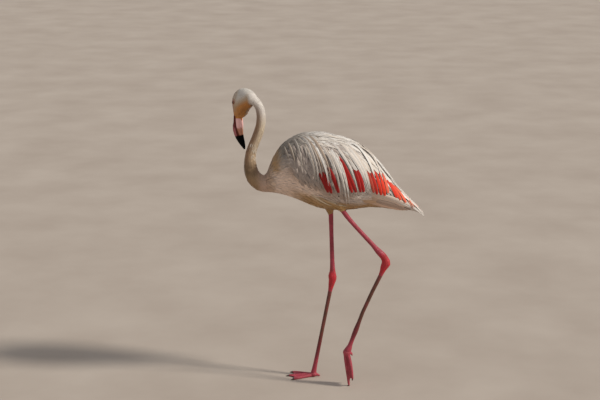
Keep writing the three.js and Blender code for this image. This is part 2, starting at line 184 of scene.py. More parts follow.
def grown_copy(nodes, growth):
    """One mesh of copies of CAD nodes, each grown by a distance."""
    whole = bmesh.new()
    for name in nodes:
        part = bmesh.new()
        part.from_mesh(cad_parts[name].data)
        bmesh.ops.remove_doubles(part, verts=part.verts, dist=1e-6)
        part.normal_update()
        for vertex in part.verts:
            vertex.co += vertex.normal * growth
        mesh = bpy.data.meshes.new("part")
        part.to_mesh(mesh)
        part.free()
        whole.from_mesh(mesh)
        bpy.data.meshes.remove(mesh)
    mesh = bpy.data.meshes.new("flesh")
    whole.to_mesh(mesh)
    whole.free()
    return mesh


def placed(name, data):
    """An object of some data in the scene."""
    made = bpy.data.objects.new(name, data)
    bpy.context.collection.objects.link(made)
    return made


def remeshed(mesh, voxel):
    """The same shape as one even net of quads."""
    body = placed("flesh", mesh)
    modifier = body.modifiers.new("Remesh", "REMESH")
    modifier.mode = "VOXEL"
    modifier.voxel_size = voxel
    made = bpy.data.meshes.new_from_object(body.evaluated_get(bpy.context.evaluated_depsgraph_get()))
    bpy.data.objects.remove(body)
    bpy.data.meshes.remove(mesh)
    return made


def edges_of(mesh):
    return read(mesh.edges, "vertices", 2, np.int32)


def relaxed(points, ends, strength, rounds):
    """Points drawn towards their neighbours' mean, by a strength each, some rounds over."""
    count = np.bincount(ends.ravel(), minlength=len(points))[:, None]
    for _ in range(rounds):
        total = np.zeros_like(points)
        for axis in range(points.shape[1]):
            total[:, axis] = np.bincount(ends[:, 0], points[ends[:, 1], axis], len(points))
            total[:, axis] += np.bincount(ends[:, 1], points[ends[:, 0], axis], len(points))
        points = points + strength * (total / count - points)
    return points


def evened(points, ends, rounds):
    """Points with the facets smoothed away and the thickness kept."""
    for _ in range(rounds):
        points = relaxed(relaxed(points, ends, 0.5, 1), ends, -0.52, 1)
    return points


def normals_of(mesh):
    return read(mesh.vertex_normals, "vector")


def moved(mesh, points):
    mesh.vertices.foreach_set("co", points.ravel())
    mesh.update()


def shaded_smooth(mesh):
    mesh.polygons.foreach_set("use_smooth", np.ones(len(mesh.polygons), bool))


class Parts:
    """Tells which CAD node's surface a point is nearest to, and how far it is."""

    def __init__(self, nodes):
        self.names = nodes
        points, faces, self.owner = [], [], []
        for index, name in enumerate(nodes):
            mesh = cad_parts[name].data
            start = len(points)
            points += [tuple(vertex.co) for vertex in mesh.vertices]
            faces += [[start + corner for corner in face.vertices] for face in mesh.polygons]
            self.owner += [index] * len(mesh.polygons)
        self.tree = BVHTree.FromPolygons(points, faces)

    def at(self, points):
        return np.array([self.owner[self.tree.find_nearest(point)[2]] for point in points])

    def inside(self, points, *names):
        return np.isin(self.at(points), [self.names.index(name) for name in names])

    def distances(self, points):
        return np.array([self.tree.find_nearest(point)[3] for point in points])


body_parts = Parts(BODY_FLESH)

BODY_COAT = 4.5 * MM
HEAD_COAT = 0.9 * MM
NECK_FOOT_COAT = 3.5 * MM
THIGH_COAT = 2.5 * MM


def coat_depth(points, part):
    """How deep the coat is, from the feathers' tips to the skin: it thins out along the tail."""
    name = np.array(BODY_FLESH)[part]
    depth = np.full(len(points), BODY_COAT)
    depth[name == "head"] = HEAD_COAT
    neck = np.char.startswith(name, "neck")
    depth[neck] = mix(HEAD_COAT, NECK_FOOT_COAT, smooth(points[neck, 2], 0.86, 0.68))
    depth[np.char.startswith(name, "thigh")] = THIGH_COAT
    depth *= 1 - 0.6 * smooth(points[:, 0], 0.2, 0.29)
    return depth


def refined(mesh, near, reach, cuts):
    """The mesh with a finer net within some distance of a place."""
    shape = bmesh.new()
    shape.from_mesh(mesh)
    centre = Vector(near)
    edges = [edge for edge in shape.edges if all((end.co - centre).length < reach for end in edge.verts)]
    bmesh.ops.subdivide_edges(shape, edges=edges, cuts=cuts, use_grid_fill=True)
    shape.to_mesh(mesh)
    shape.free()


LID_WIDTH = 37  # half the opening of the lids, in degrees round the eyeball, along the head
LID_HEIGHT = 30
LID_THICK = 0.8 * MM
LID_END = 118  # where the lids end, under the head's skin


def eye_axis(side):
    """Which way an eye looks: aside, a little ahead and a little up."""
    return unit(-side * head_left + 0.12 * head_ahead + 0.05 * UP)


def with_lids(points):
    """Wraps the skin over each eyeball, but for the opening between the lids."""
    points = points.copy()
    for side in (LEFT, RIGHT):
        axis = eye_axis(side)
        off = points - eye_centres[side]
        reach = np.linalg.norm(off, axis=1)
        near = reach < 1.5 * eye_radius
        way = unit(off[near])
        turn = np.degrees(np.arccos(np.clip(way @ axis, -1, 1)))
        flat = unit(way - (way @ axis)[:, None] * axis)
        opening = LID_HEIGHT + (LID_WIDTH - LID_HEIGHT) * np.abs(flat @ head_ahead)
        lid = smooth(turn, opening - 5, opening + 3)
        rim = LID_THICK * (0.6 + 0.6 * smooth(turn, opening + 14, opening + 2))
        wrapped = mix(0.72 * eye_radius, eye_radius + rim, lid)
        kept = np.maximum(reach[near], eye_radius + 0.5 * MM)
        reached = mix(wrapped, kept, smooth(turn, opening + 12, opening + 30))
        points[near] = eye_centres[side] + way * reached[:, None]
    return points


HEAD_FINE = 55 * MM  # how far from the head's middle the net is finer
HEAD_SMOOTHED = 60 * MM


def body_skin():
    mesh = remeshed(grown_copy(BODY_FLESH, CLOSING), BODY_VOXEL)
    points, ends = points_of(mesh), edges_of(mesh)
    part = body_parts.at(points)
    slim = np.isin(part, [BODY_FLESH.index(name) for name in BODY_FLESH if name.startswith(("head", "neck"))])
    broad = relaxed(np.where(slim, 0, 1.0)[:, None], ends, 0.5, 10)
    points = mix(evened(points, ends, 25), relaxed(points, ends, 0.5, 50), broad)
    moved(mesh, points)
    depth = relaxed(coat_depth(points, part)[:, None], ends, 0.5, 12)
    moved(mesh, points_of(mesh) - normals_of(mesh) * (depth + CLOSING))
    refined(mesh, head_middle, HEAD_FINE, 2)
    points, ends = points_of(mesh), edges_of(mesh)
    on_head = np.linalg.norm(points - head_middle, axis=1) < HEAD_SMOOTHED
    moved(mesh, with_lids(relaxed(points, ends, np.where(on_head, 0.5, 0)[:, None], 4)))
    return mesh


# Where the legs are knobbly: the side, the height, half the reach and how far the skin stands out, in
# millimetres, and whether only the front does.
SWELLINGS = [
    (LEFT, 439, 26, 2.6, False),
    (LEFT, 402, 22, 1.8, False),
    (LEFT, 186, 34, 1.6, False),
    (LEFT, 121, 20, 3.2, False),
    (RIGHT, 342, 16, 2.6, True),
]


def swelling(points, normals):
    """How far the legs' skin stands out at their joints."""
    total = np.zeros(len(points))
    for side, height, reach, amount, front_only in SWELLINGS:
        near = smooth(np.abs(points[:, 2] / MM - height), reach, 0) * (points[:, 1] * side > 0)
        total += near * amount * MM * (smooth(normals[:, 0], 0.1, -0.6) if front_only else 1)
    return total


def leg_skin():
    mesh = remeshed(grown_copy(LEG_FLESH, CLOSING), LEG_VOXEL)
    points, ends = points_of(mesh), edges_of(mesh)
    moved(mesh, evened(points, ends, 20))
    points, normals = points_of(mesh), normals_of(mesh)
    points = points + normals * (swelling(points, normals) - CLOSING)[:, None]
    for side in SIDES:  # the shank goes on up among the thigh's feathers
        knee = middle(f"ankle_{side}")
        along = unit(middle(f"shank_{side}") - knee)
        low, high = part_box(f"shank_{side}")
        length = (high.z - knee[2]) / along[2]
        off = points - knee
        up_shank = off @ along
        aside = np.linalg.norm(off - up_shank[:, None] * along, axis=1)
        top = (aside < 0.025) * smooth(up_shank, length - 0.012, length - 0.004)
        points = points + (top * SHANK_HIDDEN)[:, None] * along
    moved(mesh, points)
    return mesh


THROWN = 6  # random places for each cell's area, of which one at most is kept


class Surface:
    """A mesh that feathers stand on."""

    def __init__(self, mesh):
        self.points = points_of(mesh)
        self.normals = normals_of(mesh)
        self.faces = [tuple(face.vertices) for face in mesh.polygons]
        self.tree = BVHTree.FromPolygons(self.points, self.faces)
        mesh.calc_loop_triangles()
        self.triangles = self.points[read(mesh.loop_triangles, "vertices", 3, np.int32)]

    def nearest(self, points):
        """The nearest places on the surface, the smooth normals there and the faces' numbers."""
        found = [self.tree.find_nearest(point) for point in points]
        places = np.array([hit[0] for hit in found])
        index = np.array([hit[2] for hit in found])
        normals = np.array([self.normals[list(self.faces[face])].mean(0) for face in index])
        return places, unit(normals), index

    def scattered(self, spacing, wanted, seed):
        """Places about that far apart, where wanted says so of a point."""
        chance = np.random.default_rng(seed)
        a, b, c = self.triangles.transpose(1, 0, 2)
        centre = (a + b + c) / 3
        chosen = wanted(centre)
        a, b, c = a[chosen], b[chosen], c[chosen]
        area = np.linalg.norm(np.cross(b - a, c - a), axis=1) / 2
        count = int(THROWN * area.sum() / spacing ** 2)
        pick = chance.choice(len(area), count, p=area / area.sum())
        across, along = chance.random((2, count, 1))
        over = across + along > 1
        across, along = np.where(over, 1 - across, across), np.where(over, 1 - along, along)
        places = a[pick] + across * (b - a)[pick] + along * (c - a)[pick]
        for turn in range(2):  # one place in each cell of a grid, then of the grid moved by half a cell
            cells = np.floor(places / spacing + 0.5 * turn).astype(np.int64)
            _, first = np.unique(cells, axis=0, return_index=True)
            places = places[np.sort(first)]
        return places


# ---- Markings and painted shade: the same colours on the skin and the coat ----
WHITE = tone(233, 225, 216)
STRAND = tone(244, 239, 232)
CREAM = tone(226, 206, 176)
TAN = tone(204, 170, 130)
STAIN = tone(184, 140, 80)
FLANK = tone(190, 164, 146)
CHEST = tone(255, 226, 204)
NECK_BASE = tone(222, 188, 164)
# Painted shade on the shoulders and on the strands in front.
SHOULDER_SHADE = tone(138, 128, 116)
# Painted shade between the long strands, on the coverts under them.
STRAND_GAP_SHADE = tone(168, 154, 145)
TAIL_BROWN = tone(224, 190, 164)
CROWN = tone(232, 225, 214)
# Rust-brown: partly a stain and partly painted shade, with warm light reflected from the ground, under the
# head and on the chin.
RUST_STAIN_AND_SHADE = tone(216, 142, 62)
BARE = tone(196, 146, 120)
EYE_RING = tone(150, 72, 58)
NECK_FRONT_STAIN_AND_SHADE = tone(158, 120, 90)
NECK_LOW = tone(150, 122, 90)
RED = tone(182, 8, 8)
CORAL = tone(240, 56, 22)
SALMON = tone(236, 136, 104)
PINK = tone(240, 186, 170)
DARK = tone(96, 78, 72)


def layered(base, *layers):
    """A base colour, or colours, under layers that are each a colour and its share at every point."""
    for colour, share in layers:
        base = mix(base, colour, np.clip(share, 0, 1)[:, None])
    return base


def bare_lores(ahead, height, left):
    """Where the skin is bare: from each eye to the bill, beside a feathered strip down the forehead."""
    strip = 8 * smooth(height, -28, -6)
    return smooth(ahead, 1, 7) * smooth(height, 3, -4) * smooth(np.abs(left), strip, strip + 2)


def body_layers(points, trunk, patchy):
    """The trunk's colours: grey-brown flanks, painted shade on the shoulders, a pinkish breast and ochre
    stains.
    """
    x, _, z = points.T
    down = down_wing(points)
    belly = np.interp(x, [-0.2, -0.12, -0.03, 0.05, 0.12, 0.26], [0.64, 0.625, 0.595, 0.575, 0.58, 0.55])
    stained = smooth(z, belly + 0.035, belly + 0.012) * smooth(x, 0.2, 0.1) * smooth(x, -0.16, -0.08)
    ruff = smooth(x, -0.15, -0.175) * smooth(z, 0.77, 0.74) * smooth(z, 0.68, 0.7)
    return (
        (FLANK, trunk * smooth(down, 0.45, 0.85) * smooth(x, 0.1, 0.05) * (0.6 + 0.4 * patchy)),
        (TAIL_BROWN, trunk * smooth(down, 0.8, 1.1) * smooth(x, 0.05, 0.1) * 0.6),
        (SHOULDER_SHADE, trunk * smooth(x, -0.06, -0.12) * smooth(z, 0.7, 0.75) * 0.92),
        (CHEST, trunk * smooth(x, 0.0, -0.1) * smooth(z, 0.72, 0.68) * 0.95),
        (STAIN, trunk * stained * 0.9),
        (mix(TAN, STAIN, 0.6), trunk * ruff * 0.9),
    )


def neck_layers(points, normals, neck, patchy):
    """The neck is cream behind and stained tan in front, more so lower down, with painted shade in front."""
    x, _, z = points.T
    # The side facing forward, away from the lamp, gets a tan stain and painted shade.
    front = smooth(-normals[:, 0], -0.5, 0.7)
    low = mix(NECK_LOW * 0.8, NECK_LOW * 1.5, smooth(z, 0.7, 0.675)[:, None])
    return (
        (CREAM, neck * smooth(z, 0.89, 0.83) * 0.9),
        (TAN, neck * smooth(z, 0.85, 0.74) * (0.3 + 0.4 * patchy)),
        (NECK_FRONT_STAIN_AND_SHADE, neck * front * (0.6 + 0.3 * smooth(z, 0.9, 0.84))),
        (low, neck * smooth(z, 0.745, 0.715) * 0.9),
        (NECK_BASE, neck * smooth(x, -0.236, -0.21) * smooth(z, 0.735, 0.71)),
    )


def head_layers(points, head, ahead, height, left):
    """A grey-white crown, rust-brown cheeks and throat in part painted shade, and bare, reddish skin round
    the eyes and to the bill.
    """
    throat = -0.6 * ahead - 0.8 * height
    near_eye = from_eyes(points)
    bare = np.maximum(bare_lores(ahead, height, left), smooth(near_eye, 10, 7))
    return (
        (CROWN, head * 0.9),
        (TAN, head * smooth(throat, 0, 18) * 0.8),
        (RUST_STAIN_AND_SHADE, head * smooth(throat, 14, 28) * smooth(ahead, -66, -50) * 0.9),
        (TAN, head * smooth(ahead, -14, -4) * smooth(height, -44, -30) * 0.5),
        (BARE, head * bare * 0.85),
        (EYE_RING, head * smooth(near_eye, 7.5, 5.5) * 0.8),
    )


def markings(points, normals):
    """The plumage's colour at each point, from where it is on the bird, with painted shade in places."""
    x, _, z = points.T
    ahead, height, left = in_head(points)
    patchy = wavy(points, 0.05, 3)
    trunk = smooth(x, -0.205, -0.175)
    neck = (1 - trunk) * smooth(z, 0.925, 0.88) * smooth(ahead, -38, -52)
    head = (1 - trunk) * smooth(ahead, -56, -46) * smooth(z, 0.835, 0.85)
    return layered(
        WHITE,
        *body_layers(points, trunk, patchy),
        *neck_layers(points, normals, neck, patchy),
        *head_layers(points, head, ahead, height, left),
    )


# ---- Materials ----
class Look:
    """A material while it is made. A value may be a number, a colour or another node's output."""

    def __init__(self, name):
        self.material = bpy.data.materials.new(name)
        self.material.use_nodes = True
        self.nodes = self.material.node_tree.nodes
        self.shader = self.nodes["Principled BSDF"]

    def fill(self, node, values):
        """Sets or links some of a node's inputs."""
        for key, value in values.items():
            socket = node.inputs[key]
            if isinstance(value, bpy.types.NodeSocket):
                self.material.node_tree.links.new(value, socket)
            else:
                socket.default_value = (*value, 1) if socket.type == "RGBA" else value

    def node(self, kind, inputs, output=0, **settings):
        """Adds a shader node and gives one of its outputs."""
        made = self.nodes.new(f"ShaderNode{kind}")
        for key, value in settings.items():
            setattr(made, key, value)
        self.fill(made, inputs)
        return made.outputs[output]

    def mixed(self, share, first, second, blend="MIX"):
        return self.node("Mix", {0: share, 6: first, 7: second}, 2, data_type="RGBA", blend_type=blend)

    def ranged(self, value, low, high, to_low, to_high):
        return self.node("MapRange", {0: value, 1: low, 2: high, 3: to_low, 4: to_high})

    def number(self, operation, *values):
        return self.node("Math", dict(enumerate(values)), operation=operation)

    def place(self):
        return self.node("TexCoord", {}, "Object")

    def noise(self, scale, detail, where=None, stretch=None):
        """Noise over the object, or over a map, that may be stretched along an axis."""
        source = where or self.place()
        if stretch:
            source = self.node("Mapping", {"Vector": source, "Scale": stretch})
        return self.node("TexNoise", {"Vector": source, "Scale": scale, "Detail": detail})

    def marked(self):
        return self.node("Attribute", {}, "Color", attribute_name="Mark")

    def finished(self, colour, rough, height, depth, strength, specular=0.5):
        """The material, with its colour, roughness, a bump of some depth and how it gleams."""
        bump = self.node("Bump", {"Height": height, "Distance": depth, "Strength": strength})
        values = {"Base Color": colour, "Roughness": rough, "Normal": bump, "Specular IOR Level": specular}
        self.fill(self.shader, values)
        return self.material


def feather_material():
    """Vanes with fine slanting barbs, in the colours that they are marked with."""
    look = Look("feather")
    barb = look.node("UVMap", {}, uv_map="Barb")
    across = look.number("ABSOLUTE", look.node("SeparateXYZ", {0: barb}, 0))
    slant = look.number("MULTIPLY_ADD", across, 0.6, look.node("SeparateXYZ", {0: barb}, 1))
    wave = look.number("SINE", look.number("MULTIPLY", slant, 9.0))
    barbs = look.ranged(wave, -1.0, 1.0, 0.0, 1.0)
    streaks = look.noise(1.0, 4.0, barb, (5.0, 0.25, 1.0))
    colour = look.mixed(look.ranged(streaks, 0.35, 0.8, 0.0, 0.22), look.marked(), tone(120, 98, 80))
    colour = look.mixed(look.ranged(barbs, 0.0, 1.0, 0.06, 0.0), colour, tone(90, 74, 66))
    look.fill(look.shader, {"Sheen Weight": 0.15})
    return look.finished(colour, look.ranged(streaks, 0.2, 0.8, 0.62, 0.82), barbs, 0.12 * MM, 0.6, 0.25)


def grained(name, scale, detail, shade, spots, rough, depth, strength, specular=0.5, base=None, stretch=None,
            blend="MIX"):
    """A material with one noise in its colour, its roughness and its bump, whose depth is in millimetres.
    Without a base colour it has the colours that the mesh is marked with."""
    look = Look(name)
    grain = look.noise(scale, detail, None, stretch)
    share = look.ranged(grain, *shade)
    colour = look.mixed(share, look.marked() if base is None else base, spots, blend)
    return look.finished(colour, look.ranged(grain, 0.3, 0.7, *rough), grain, depth * MM, strength, specular)


def skin_material():
    """The downy skin under the feathers, with the same markings as the coat."""
    return grained("skin", 420, 5, (0.35, 0.7, 0.05, 0.3), tone(120, 96, 80), (0.75, 0.95), 0.6, 0.7, 0.2)


def bill_material():
    return grained("bill", 160, 4, (0.35, 0.75, 0, 0.8), tone(232, 208, 204), (0.34, 0.5), 0.15, 0.5, 0.06,
                   stretch=(1, 1, 0.25), blend="MULTIPLY")


def lid_material():
    """Bare, finely pebbled skin."""
    return grained("lid", 1400, 3, (0.35, 0.7, 0, 0.35), tone(110, 60, 50), (0.45, 0.65), 0.12, 0.6)


def claw_material():
    """Dark horn, lined along its length."""
    return grained("claw_horn", 500, 4, (0.3, 0.7, 0, 1), tone(96, 74, 64), (0.32, 0.55), 0.15, 0.5,
                   base=tone(52, 38, 34), stretch=(0.25, 1, 1))


# ---- Pieces ----
def add_piece(name, mesh, material, replaced=()):
    piece = placed(name, mesh)
    mesh.materials.append(material)
    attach(piece, "root")
    if replaced:
        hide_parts(*replaced)
    return piece


def paint(mesh, colours):
    attribute = mesh.color_attributes.new("Mark", "FLOAT_COLOR", "POINT")
    attribute.data.foreach_set("color", np.hstack([colours, np.ones((len(colours), 1))]).ravel())


# ---- Vanes: closed, thin feathers, many to a piece ----
# A vane's section, as shares of its half width and of its half depth.
SLIM_SECTION = np.array([[-1, -0.1], [0, 1], [1, -0.1], [0, -0.5]])
BROAD_SECTION = np.array([
    [-1, -0.5], [-0.55, 0.25], [-0.07, 0.55], [0, 1], [0.07, 0.55], [0.55, 0.25], [1, -0.5], [0, -0.2],
])
# Half widths from root to tip, as shares of the widest.
TUFT = [0.8, 1, 0.15]
BODY_FEATHER = [0.4, 0.8, 1, 0.95, 0.7, 0.12]
LANCE = [0.3, 0.75, 0.95, 1, 0.92, 0.8, 0.62, 0.42, 0.22, 0.04]
SQUARE = [0.5, 0.85, 1, 1, 1, 1, 0.92, 0.6]
QUILL = [0.5, 0.75, 0.95, 1, 1, 0.85, 0.55, 0.08]
PATCH = 0.003  # each vane's share of the colour map
CURVE = 0.35  # how far a vane's shading turns towards its edges
TIP_SHADE = 1.03


def grow(ground, roots, lengths, way_at, rows, lifts, yaw, rise, base):
    """Spines that run from their roots along the ground, and rise from it towards their tips."""
    spine, up, along = np.empty((3, len(roots), rows, 3))
    at = roots
    for row in range(rows):
        place, normal, _ = ground.nearest(at)
        share = row / (rows - 1)
        way = way_at(place, normal)
        turned = np.cos(yaw)[:, None] * way + np.sin(yaw)[:, None] * np.cross(normal, way)
        spine[:, row] = place + normal * (base + lifts * share ** rise)[:, None]
        up[:, row] = normal
        along[:, row] = turned
        at = place + turned * (lengths / (rows - 1))[:, None]
    return spine, unit(np.cross(along, up)), up


def root_shaded(colours, shape, shade, reach):
    """Colours for each row of each vane: darker at the root, over some share of its length."""
    rows = np.linspace(0, 1, len(shape))[None, :, None]
    return colours[:, None] * mix(shade, TIP_SHADE, smooth(rows, 0, reach))


def vanes(name, spine, side, up, half_widths, half_depth, shape, section, colours):
    """Joins closed vanes into one piece, with a colour for each row of each vane."""
    count, rows, _ = spine.shape
    sides = len(section)
    widths = half_widths[:, None] * np.array(shape)[None]
    depths = half_depth * np.sqrt(np.array(shape))[None]
    ring = (spine[:, :, None]
            + side[:, :, None] * (widths[:, :, None] * section[:, 0])[..., None]
            + up[:, :, None] * (depths[:, :, None] * section[:, 1])[..., None])
    points = ring.reshape(-1, 3)
    start = (np.arange(count)[:, None, None] * rows + np.arange(rows - 1)[None, :, None]) * sides
    here, after = np.arange(sides), (np.arange(sides) + 1) % sides
    quads = np.stack([start + here, start + after, start + sides + after, start + sides + here], -1).ravel()
    first = np.arange(count)[:, None] * rows * sides
    root_caps = (first + np.arange(sides)[::-1]).ravel()
    tip_caps = (first + (rows - 1) * sides + np.arange(sides)).ravel()
    loops = np.concatenate([quads, root_caps, tip_caps])
    sizes = np.concatenate([np.full(len(quads) // 4, 4), np.full(2 * count, sides)])
    starts = np.concatenate([[0], np.cumsum(sizes)[:-1]])
    mesh = bpy.data.meshes.new(name)
    for items, field, values in ((mesh.vertices, "co", points), (mesh.loops, "vertex_index", loops),
                                 (mesh.polygons, "loop_start", starts)):
        items.add(len(values))
        items.foreach_set(field, values.ravel())
    shaded_smooth(mesh)
    mesh.update(calc_edges=True)
    paint(mesh, np.repeat(colours.reshape(-1, 3), sides, 0))
    # Each vane is shaded as a gentle curve across, and not as a sharp-edged block. A section starts at
    # an edge and ends with the underside.
    above = np.ones(sides)
    above[0], above[-1] = 0, -1
    normals = unit(up[:, :, None] * above[:, None] + CURVE * side[:, :, None] * section[:, 0, None])
    mesh.normals_split_custom_set_from_vertices(normals.reshape(-1, 3))
    # The colour map puts each vane at its root's place on the skin's own unwrap.
    across = np.broadcast_to(section[:, 0], (count, rows, sides))
    down = np.broadcast_to(np.linspace(0, 1, rows)[None, :, None], (count, rows, sides))
    roots = skin_map[skin.nearest(spine[:, 0])[2]]
    place = roots[:, None, None] + PATCH * np.stack([across / 2, down - 0.5], -1)
    length = np.linalg.norm(np.diff(spine, axis=1), axis=2).sum(1)[:, None, None] / MM
    barb = np.stack([across * widths[:, :, None] / MM, down * length], -1)
    for layer, values in (("OFBake", place), ("Barb", barb)):
        mesh.uv_layers.new(name=layer).data.foreach_set("uv", values.reshape(-1, 2)[loops].ravel())
    return add_piece(name, mesh, feather)


def map_places(mesh):
    """Where each face's middle is in the mesh's own unwrap."""
    corners = read(mesh.uv_layers["OFBake"].data, "uv", 2)
    starts = [face.loop_start for face in mesh.polygons]
    counts = np.array([[face.loop_total] for face in mesh.polygons])
    return np.add.reduceat(corners, starts) / counts


def unwrapped(piece):
    """Lays the skin out flat in a map of its own."""
    piece.data.uv_layers.new(name="OFBake")
    bpy.ops.object.select_all(action="DESELECT")
    piece.select_set(True)
    bpy.context.view_layer.objects.active = piece
    bpy.ops.object.mode_set(mode="EDIT")
    bpy.ops.mesh.select_all(action="SELECT")
    bpy.ops.uv.smart_project(angle_limit=1.15, island_margin=0.004, scale_to_bounds=True)
    bpy.ops.object.mode_set(mode="OBJECT")


# ---- The lie of the coat ----
line_steps = np.linspace(0, len(NECK_LINE) - 1, 70)
line_points = np.stack([np.interp(line_steps, range(len(NECK_LINE)), places) for places in NECK_LINE.T], 1)
line_ways = unit(np.gradient(line_points, axis=0))
NECK_FOOT = np.array([-0.215, 0, 0.665])  # where the neck joins the breast, whose feathers run away from it
HANG = [math.radians(turn) for turn in (72, 52, 41)]  # how steeply the wing's feathers hang: front to rear
FLANK_SLOPE = math.radians(14)
LINE_REACH = 9 * MM  # over which the ways of the neck's line run into each other


def lie(points, normals):
    """Which way the feathers run at points of the skin."""
    x = points[:, 0]
    gaps = ((points[:, None] - line_points[None]) ** 2).sum(2)
    weights = np.exp((gaps.min(1, keepdims=True) - gaps) / (2 * LINE_REACH ** 2))
    way = unit(weights @ line_ways)
    below = down_wing(points)
    slope = -np.gradient(back_line[1], back_line[0])
    back = np.clip(np.arctan(np.interp(x, back_line[0], slope)), 0.2, 0.9)
    hang = mix(mix(HANG[0], HANG[1], smooth(x, 0.05, 0.14)), HANG[2], smooth(x, 0.16, 0.25))
    reach = mix(0.3, 0.6, smooth(x, -0.08, 0.04))
    angle = mix(back, np.maximum(back, hang), np.clip(np.clip(below, 0, 1) / reach, 0, 1))
    angle = mix(angle, FLANK_SLOPE, np.maximum(smooth(below, 0.95, 1.08), smooth(x, -0.13, -0.16)))
    side = np.stack([np.cos(angle), np.zeros(len(x)), -np.sin(angle)], 1)
    way = mix(way, unit(points - NECK_FOOT), smooth(x, -0.205, -0.18)[:, None])
    way = mix(way, side, smooth(x, -0.15, -0.09)[:, None])
    thigh = smooth(points[:, 2], 0.585, 0.555) * smooth(np.abs(x), 0.09, 0.06)
    way = mix(way, np.array([0.1, 0, -1.0]), thigh[:, None])
    way = way - normals * (way * normals).sum(1, keepdims=True)
    return unit(way)


# ---- Build ----
UNDER_COAT_SHADE = 0.8  # painted shade: the skin under the coat keeps this share of the coat's colours
feather = feather_material()
skin_mesh = body_skin()
skin = Surface(skin_mesh)
paint(skin_mesh, markings(skin.points, skin.normals) * UNDER_COAT_SHADE)
shaded_smooth(skin_mesh)
skin_piece = add_piece("skin", skin_mesh, skin_material(), BODY_FLESH)
unwrapped(skin_piece)
skin_map = map_places(skin_mesh)


def among(*names, after=-1, before=1):
    """Tells whether points are on some nodes, between two x."""
    return lambda points: body_parts.inside(points, *names) & (points[:, 0] > after) & (points[:, 0] < before)


def plain(colour):
    return lambda points, normals: np.repeat(colour[None], len(points), 0)


COAT_BASE = 0.3 * MM
COAT_RISE = 1.3


def feathered(name, wanted, sizes, shape, seed, root_shade, colours_at=markings, ground=skin,
              way_at=lie):
    """A stretch of coat: many like feathers, each a little different. The sizes, in millimetres, are the
    space between roots, the length, half the width, how far the tip stands out and half the depth."""
    spacing, length, half_width, lift, half_depth = np.array(sizes) * MM
    roots = ground.scattered(spacing, wanted, seed)
    count = len(roots)
    chance = np.random.default_rng(seed + 100)
    lengths = length * chance.uniform(0.8, 1.25, count)
    lifts = lift * chance.uniform(0.6, 1.3, count)
    yaw = chance.normal(0, 0.1, count)
    spine, side, up = grow(ground, roots, lengths, way_at, len(shape), lifts, yaw, COAT_RISE, COAT_BASE)
    colours = colours_at(spine[:, 0], up[:, 0]) * chance.uniform(0.86, 1.08, (count, 1))
    half_widths = half_width * chance.uniform(0.85, 1.15, count)
    shaded = root_shaded(colours, shape, root_shade, 0.6)
    return vanes(name, spine, side, up, half_widths, half_depth, shape, SLIM_SECTION, shaded)


# ---- Head and neck ----
def on_face(points):
    """The feathered part of the head: not the bare skin at the eyes, lores and bill's base."""
    ahead, height, left = in_head(points)
    bare = (bare_lores(ahead, height, left) > 0.6) | (from_eyes(points) < 7.5) | (height < -47)
    return body_parts.inside(points, "head") & ~bare


def on_throat(points):
    """The throat's rear edge, where the down is longest."""
    ahead, height, _ = in_head(points)
    near = (np.abs(above_throat(ahead, height) + 3) < 9) & (height > -46) & (ahead > -50)
    return body_parts.inside(points, "head") & near


def throat_colours(points, normals):
    """Rust-brown stain and painted shade, with a painted highlight: a cream fringe along the middle line."""
    _, _, left = in_head(points)
    # Painted highlight: the cream fringe where the throat's middle line catches the light.
    return layered(markings(points, normals), (CREAM, smooth(np.abs(left), 5, 2) * 0.8))


feathered("coat_head", on_face, (1.35, 6, 0.75, 0.5, 0.18), TUFT, 21, 0.94)
feathered("coat_throat", on_throat, (2.0, 10, 1.0, 4, 0.22), TUFT, 25, 0.94, colours_at=throat_colours)
feathered("coat_neck_upper", among("neck_upper"), (1.7, 9, 0.95, 0.8, 0.22), TUFT, 22, 0.92)
feathered("coat_neck_middle", among("neck_middle"), (2.0, 12, 1.2, 1.3, 0.26), TUFT, 23, 0.9)
feathered("coat_neck_lower", among("neck_lower"), (2.5, 15, 1.7, 2.2, 0.3), TUFT, 24, 0.88)


def scruffy(points):
    """The lower neck's sides, where the down stands out in tufts."""
    x, _, z = points.T
    return (z > 0.734) & (z < 0.782) & (x < -0.2) & (x > -0.238) & (wavy(points, 0.015, 8) > 0.62)


feathered("neck_tufts", scruffy, (4, 10, 1.2, 3.4, 0.3), TUFT, 26, 0.74,
          colours_at=plain(mix(CREAM, STRAND, 0.4)))

# ---- Body ----
on_breast = among("trunk", before=-0.13)
on_trunk = among("trunk", after=-0.15)
on_tail = among("tail", before=0.2)
on_thighs = among("thigh_left", "thigh_right")
on_wings = among("wing_left", "wing_right", before=0.205)

feathered("coat_breast", on_breast, (4.2, 22, 3, 1.8, 0.25), BODY_FEATHER, 30, 0.84)
feathered("coat_trunk", on_trunk, (5.6, 28, 3.6, 2, 0.28), BODY_FEATHER, 31, 0.8)
feathered("coat_tail", on_tail, (6, 40, 5, 1.6, 0.3), BODY_FEATHER, 32, 0.74)
feathered("coat_thighs", on_thighs, (4, 20, 3, 2.2, 0.3), BODY_FEATHER, 33, 0.74)


def wing_shade(points, normals):
    """Coverts under the strands: painted shade, most in front, whiter behind and along the back."""
    down = down_wing(points)
    front = smooth(points[:, 0], 0.1, -0.02)
    low = smooth(down, 0.7, 0.95)
    return layered(
        markings(points, normals),
        (STRAND_GAP_SHADE, smooth(down, 0.02, 0.2) * mix(0.5, 0.9, front)),
        (FLANK, low * 0.8),
        (mix(FLANK, WHITE, 0.6), low * smooth(points[:, 0], 0.05, 0.09)),
    )


feathered("coat_wings", on_wings, (8.5, 38, 6.5, 1.6, 0.3), BODY_FEATHER, 41, 0.82,
          wing_shade)


# ---- Long feathers of the folded wings ----
ASIDE = 0.3  # farther to the side than any of the bird


